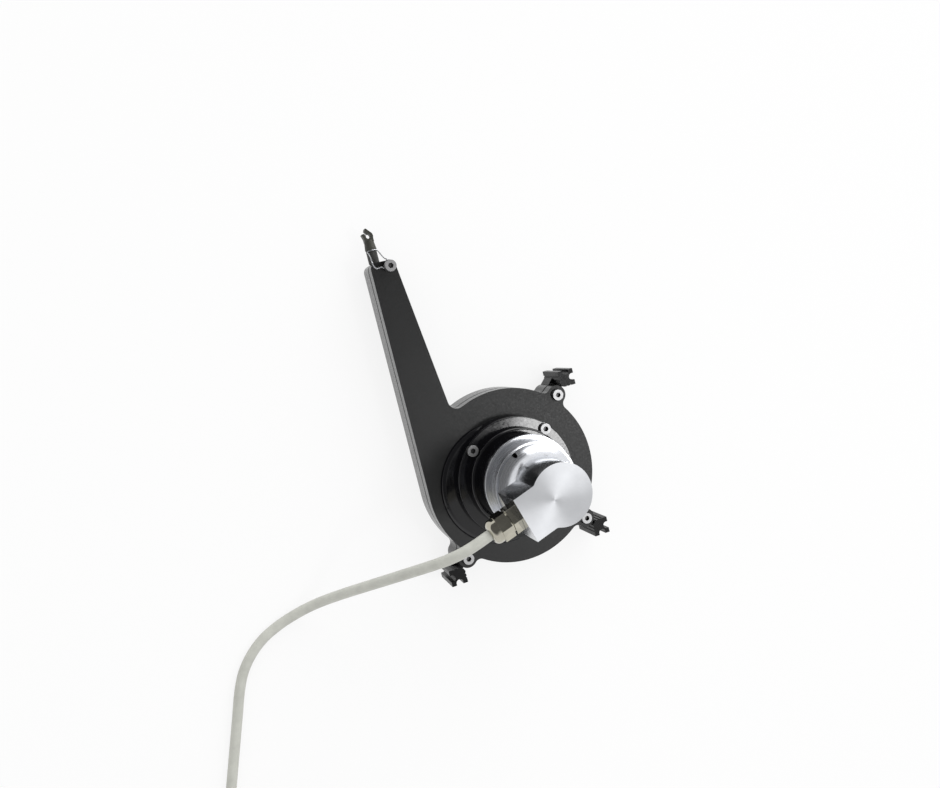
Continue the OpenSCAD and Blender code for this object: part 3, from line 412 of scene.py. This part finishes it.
def softened(node, width, segments=2, angle=32):
    """Replaces a node with a copy whose edges sharper than the angle are rounded by width mm."""
    mesh = nodes[node].data.copy()
    mesh.name = node + "_finished"
    if "custom_normal" in mesh.attributes:
        mesh.attributes.remove(mesh.attributes["custom_normal"])
    work = bmesh.new()
    work.from_mesh(mesh)
    bmesh.ops.remove_doubles(work, verts=work.verts, dist=WELD)
    bmesh.ops.dissolve_limit(
        work, angle_limit=FLAT_ANGLE, verts=work.verts, edges=work.edges
    )
    for face in work.faces:
        face.smooth = True
    work.to_mesh(mesh)
    work.free()
    mesh.set_sharp_from_angle(angle=math.radians(angle))
    piece = link_piece(node + "_finished", mesh, node)
    bevel = piece.modifiers.new("edges", "BEVEL")
    bevel.width = width * MM
    bevel.segments = segments
    bevel.limit_method = "ANGLE"
    bevel.angle_limit = math.radians(angle)
    bevel.use_clamp_overlap = True
    bevel.harden_normals = True
    piece.modifiers.new("normals", "WEIGHTED_NORMAL").keep_sharp = True
    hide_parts(node)
    return piece


def curve_piece(name, points, radius, node, finish=None, sides=4):
    """A round piece along a line of points."""
    data = bpy.data.curves.new(name, "CURVE")
    data.dimensions = "3D"
    data.bevel_depth = radius
    data.bevel_resolution = sides
    data.use_fill_caps = True
    spline = data.splines.new("POLY")
    spline.points.add(len(points) - 1)
    for place, point in zip(spline.points, points):
        place.co = (*point, 1)
    spline.use_smooth = True
    return link_piece(name, data, node, finish)


def smoothed(points, steps):
    """Points between the given ones, on a smooth curve through them."""
    made = []
    for i in range(len(points) - 1):
        a, b = points[max(i - 1, 0)], points[i]
        c, d = points[i + 1], points[min(i + 2, len(points) - 1)]
        for k in range(steps):
            u = k / steps
            made.append(
                b
                + u * (c - a) / 2
                + u * u * (a - 2.5 * b + 2 * c - d / 2)
                + u**3 * (1.5 * (b - c) + (d - a) / 2)
            )
    return made + [points[-1]]


def eased(u):
    """0 below 0 and 1 above 1, with a soft step between."""
    u = min(max(u, 0.0), 1.0)
    return u * u * (3 - 2 * u)


# ---------------------------------------------------------------- the signal cable

NOSE = math.radians(197)  # the way the cable leaves, from +X
ALONG = Vector((math.cos(NOSE), math.sin(NOSE), 0))
ASIDE = Vector((-ALONG.y, ALONG.x, 0))
CABLE_D = 6.3
# distance along the nose's direction, distance to its left, and height, in millimetres
ROUTE = [
    (19, 0, 87), (44, 0, 87), (52, 0, 87), (60, 0, 85.8), (68, 0, 82), (76, 0, 75.6),
    (87, 0, 65), (98, 0, 54), (109, 0, 43), (120, 0, 32), (130, 0, 22.4), (140, 0, 13.8),
    (150, 0, 7.4), (160, 0, 4), (170, 0, 3.2), (181.5, 1.3, 3.2), (192.4, 5.3, 3.2),
    (202, 11.6, 3.2), (210, 20, 3.2), (219, 32, 3.2), (228, 44, 3.2), (237, 56, 3.2),
    (246, 68, 3.4), (255, 80, 3.8), (265, 93.3, 4), (269.7, 99.6, 4), (274.4, 105.8, 4),
]  # fmt: skip
COIL = Vector((248.4, 135, 0))
COIL_IN = 32  # radius of the inner turn
COIL_FLOOR = 4  # height of the lower turns' centre
# the coil starts where the route touches its outer turn, and ends where the tail leaves it
COIL_START, TAIL_ANGLE = -36.87, 73
COIL_TURN = TAIL_ANGLE - COIL_START + 720
STEP_IN, STEP_IN_OVER = 270, 90  # where the outer turn goes over to the inner one
CLIMB, CLIMB_OVER = 565, 95  # where the inner turn climbs, to lie on both
CLIMB_ANGLE = math.radians(60)
COIL_STEP = 10
CABLE_LIFT = 0.02  # over the table
TAIL = [(35.1, 10, 10.3), (35.1, 20, 10), (35.1, 27, 9), (35.1, 34, 7), (35.1, 41, 4.6),
        (35.1, 48, 3.5), (35.1, 56, 3.2), (35.1, 64, 3.2)]  # fmt: skip
LEAD_START, LEAD_LENGTH, LEAD_STEPS = 60, 36, 8
LEAD_R = 0.65
FERRULE_R, FERRULE_LENGTH = 0.5, 7
LEADS = {
    "white": (0.75, 0.74, 0.7),
    "brown": (0.16, 0.06, 0.025),
    "green": (0.03, 0.25, 0.06),
    "yellow": (0.75, 0.5, 0.03),
    "grey": (0.25, 0.25, 0.25),
    "pink": (0.7, 0.25, 0.3),
}


def placed(point):
    """A point of the cable's own frame, in the part's frame."""
    return (point[0] * ALONG + point[1] * ASIDE) * MM + Vector((0, 0, point[2] * MM))


def coil_point(turned_by):
    """The cable's centre after it has gone that many degrees round the coil: once round outside,
    once round inside, then over the inner turn and on along the top of both."""
    over = eased((turned_by - CLIMB) / CLIMB_OVER)
    climb = CLIMB_ANGLE * over
    outer = COIL_IN + CABLE_D
    if turned_by < CLIMB:
        r = outer - CABLE_D * eased((turned_by - STEP_IN) / STEP_IN_OVER)
    else:
        r = outer - CABLE_D * math.cos(climb)
    lift = CABLE_D * (math.sin(climb) + (1 - math.sin(CLIMB_ANGLE)) * over)
    a = math.radians(COIL_START + turned_by)
    return COIL + Vector((r * math.cos(a), r * math.sin(a), COIL_FLOOR + lift))


def tail_point(point):
    """A point given from the coil's centre, where local y runs along the tail."""
    return COIL + Matrix.Rotation(math.radians(TAIL_ANGLE), 3, "Z") @ Vector(point)


def cable_line():
    """The cable's centre line, from the gland to where its sheath ends."""
    steps = round(COIL_TURN / COIL_STEP)
    line = [Vector(p) for p in ROUTE]
    line += [coil_point(COIL_TURN * i / steps) for i in range(steps + 1)]
    line += [tail_point(p) for p in TAIL]
    line = smoothed(line, 3)
    for p in line:
        p.z = max(p.z, CABLE_D / 2 + CABLE_LIFT)
    return [placed(p) for p in line]


def lead_line(i):
    """One lead's centre line: out of the sheath side by side with the others, then fanned out,
    slightly wavy and down to the table."""
    x, sheath_end, height = TAIL[-1]
    side = i - (len(LEADS) - 1) / 2
    points = []
    for k in range(LEAD_STEPS + 1):
        out = LEAD_START + LEAD_LENGTH * k / LEAD_STEPS
        free = out - sheath_end
        spread = 0.55 * side + 0.105 * side * max(free, 0)
        spread += 1.3 * math.sin(0.12 * free + 1.7 * i) * eased((free - 2) / 20)
        drop = eased(free / 22)
        row = 0.9 if i % 2 == 0 else -0.9
        z = height + row * (1 - drop) - 2.35 * drop
        points.append(placed(tail_point((x - spread, out, z))))
    return points


def add_cable():
    line = cable_line()
    cable = curve_piece("signal_cable_sheath", line, CABLE_D / 2 * MM, "signal_cable", sides=6)
    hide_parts("signal_cable", "cable_coil", "cable_tail")

    ends = []
    for i, (colour, rgb) in enumerate(LEADS.items()):
        finish = sheath("lead_" + colour, rgb)
        points = lead_line(i)
        lead = curve_piece("lead_" + colour, smoothed(points, 3), LEAD_R * MM, "core_leads", finish)
        tip = points[-1] + (points[-1] - points[-2]).normalized() * FERRULE_LENGTH * MM
        ferrule = curve_piece(
            "ferrule_" + colour, [points[-1], tip], FERRULE_R * MM, "lead_ferrules"
        )
        ends += [lead, ferrule]
    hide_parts("core_leads")
    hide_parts("lead_ferrules")
    tie = softened("coil_tie", 0.15)


# ---------------------------------------------------------------- the measuring wire


WIRE_RINGS, WIRE_SIDES = 12, 12


def add_wire():
    """The wire between the arm and the clip, which draws out as the clip is pulled."""
    low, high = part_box("wire_lead")
    x, z = (low.x + high.x) / 2, (low.z + high.z) / 2
    radius = (high.x - low.x) / 2
    work = bmesh.new()
    loops = []
    for k in range(WIRE_RINGS + 1):
        y = low.y + (high.y - low.y) * k / WIRE_RINGS
        loops.append([])
        for s in range(WIRE_SIDES):
            a = 2 * math.pi * s / WIRE_SIDES
            at = (x + radius * math.cos(a), y, z + radius * math.sin(a))
            loops[-1].append(work.verts.new(at))
    for a, b in zip(loops, loops[1:]):
        for s in range(WIRE_SIDES):
            t = (s + 1) % WIRE_SIDES
            work.faces.new((a[s], a[t], b[t], b[s])).smooth = True
    work.faces.new(loops[0][::-1])
    work.faces.new(loops[-1])
    mesh = bpy.data.meshes.new("measuring_wire")
    work.to_mesh(mesh)
    work.free()
    mesh.materials.append(FINISHES["wire_rope"])
    piece = bpy.data.objects.new("measuring_wire", mesh)
    scene.collection.objects.link(piece)
    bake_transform(piece)
    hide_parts("wire_lead")


# ---------------------------------------------------------------- studio


FLOOR_HALF = 12.0
FLOOR_DROP = 0.02 * MM  # so that it doesn't flicker with the faces that stand on it
FLOOR_WHITE = 0.92
FLOOR_GLOW = 0.82  # the floor's own white, as seen; the rest of it takes the shadow
ROOM_LIGHT = 0.76
DIM_TOWARD = (-0.45, 0.6, 0.66)
DIM_FROM, DIM_FULL, DIM_LEVEL = 0.25, 0.65, 0.15
LAMP_TARGET = (0, 0, 0.05)
# place, size and power of each lamp
LAMPS = {
    "key": ((0.35, -0.12, 0.83), (0.13, 0.13), 0.78),
    "fill": ((1.95, 2.55, 1.25), (3.6, 2.4), 70),
}


def light_path(tree):
    """1 for what the camera sees straight on, in a mirror or through glass."""
    path = tree.nodes.new("ShaderNodeLightPath").outputs
    total = path["Is Camera Ray"]
    for name in ("Is Glossy Ray", "Is Transmission Ray"):
        more = tree.nodes.new("ShaderNodeMath")
        more.operation = "MAXIMUM"
        tree.links.new(total, more.inputs[0])
        tree.links.new(path[name], more.inputs[1])
        total = more.outputs[0]
    return total


def add_floor():
    """A plain floor, white to the camera and in reflections, that keeps the object's shadow."""
    mesh = bpy.data.meshes.new("floor")
    corners = [(-1, -1), (1, -1), (1, 1), (-1, 1)]
    mesh.from_pydata([(x * FLOOR_HALF, y * FLOOR_HALF, 0) for x, y in corners], [], [(0, 1, 2, 3)])
    floor = bpy.data.objects.new("floor", mesh)
    floor.location.z = -FLOOR_DROP
    scene.collection.objects.link(floor)
    paint = bpy.data.materials.new("floor_paint")
    paint.use_nodes = True
    tree = paint.node_tree
    tree.nodes.clear()
    white = tree.nodes.new("ShaderNodeBsdfDiffuse")
    white.inputs["Color"].default_value = (FLOOR_WHITE, FLOOR_WHITE, FLOOR_WHITE, 1)
    glow = tree.nodes.new("ShaderNodeEmission")
    glow.inputs["Color"].default_value = (1, 1, 1, 1)
    share = tree.nodes.new("ShaderNodeMath")
    share.operation = "MULTIPLY"
    share.inputs[1].default_value = FLOOR_GLOW
    tree.links.new(light_path(tree), share.inputs[0])
    mix = tree.nodes.new("ShaderNodeMixShader")
    tree.links.new(share.outputs[0], mix.inputs[0])
    tree.links.new(white.outputs[0], mix.inputs[1])
    tree.links.new(glow.outputs[0], mix.inputs[2])
    out = tree.nodes.new("ShaderNodeOutputMaterial")
    tree.links.new(mix.outputs[0], out.inputs["Surface"])
    mesh.materials.append(paint)


def add_world():
    """White to the camera, and in reflections but for a dim stretch; duller as a light. The dim
    stretch has a fixed place, on the side where the photograph's camera stands."""
    world = bpy.data.worlds.new("studio")
    scene.world = world
    world.use_nodes = True
    tree = world.node_tree
    tree.nodes.clear()

    def node(kind, **inputs):
        """A node with its inputs set or linked; _0 stands for the input of that number."""
        made = tree.nodes.new(kind)
        for key, value in inputs.items():
            key = int(key[1:]) if key[0] == "_" else key.replace("_", " ")
            if isinstance(value, bpy.types.NodeSocket):
                tree.links.new(value, made.inputs[key])
            else:
                made.inputs[key].default_value = value
        return made

    toward = node("ShaderNodeTexCoord").outputs["Generated"]
    near = node("ShaderNodeVectorMath", _0=toward, _1=DIM_TOWARD)
    near.operation = "DOT_PRODUCT"
    dim = node(
        "ShaderNodeMapRange",
        Value=near.outputs["Value"],
        From_Min=DIM_FROM,
        From_Max=DIM_FULL,
        To_Min=1.0,
        To_Max=DIM_LEVEL,
    )
    direct = tree.nodes.new("ShaderNodeLightPath").outputs["Is Camera Ray"]
    seen = node("ShaderNodeMath", _0=dim.outputs["Result"], _1=direct)
    seen.operation = "MAXIMUM"
    room = node("ShaderNodeBackground", Color=(1, 1, 1, 1), Strength=ROOM_LIGHT)
    white = node("ShaderNodeBackground", Color=(1, 1, 1, 1), Strength=seen.outputs[0])
    mix = node("ShaderNodeMixShader", _0=light_path(tree), _1=room.outputs[0], _2=white.outputs[0])
    node("ShaderNodeOutputWorld", Surface=mix.outputs[0])


def add_lamp(name, place, size, watts):
    """An area lamp turned to the object."""
    data = bpy.data.lights.new(name, "AREA")
    data.shape = "RECTANGLE"
    data.size, data.size_y = size
    data.energy = watts
    lamp = bpy.data.objects.new(name, data)
    lamp.location = place
    ahead = Vector(LAMP_TARGET) - Vector(place)
    lamp.rotation_euler = ahead.to_track_quat("-Z", "Y").to_euler()
    scene.collection.objects.link(lamp)


def add_studio():
    add_floor()
    add_world()
    for name, (place, size, watts) in LAMPS.items():
        add_lamp(name, place, size, watts)


# ---------------------------------------------------------------- making

# how far the edges of these pieces are rounded, in millimetres
EDGES = {
    "rear_housing": 0.35,
    "front_housing": 0.5,
    "mounting_feet": 0.25,
    "housing_screws": 0.12,
    "adapter_screws": 0.12,
    "encoder_adapter": 0.45,
    "encoder_flange": 0.2,
    "encoder_cap": 0.35,
    "gland_body": 0.25,
    "gland_nut": 0.3,
    "outlet_nozzle": 0.2,
    "wire_clip": 0.25,
}

add_camera()
add_cable()
for node in nodes:
    finish_node(node)
add_wire()
for node, width in EDGES.items():
    softened(node, width)
# only the ends of this thin wire have sharp edges
softened("retaining_wire", 0.01, segments=1, angle=75)
add_studio()
scene.view_settings.view_transform = "Standard"
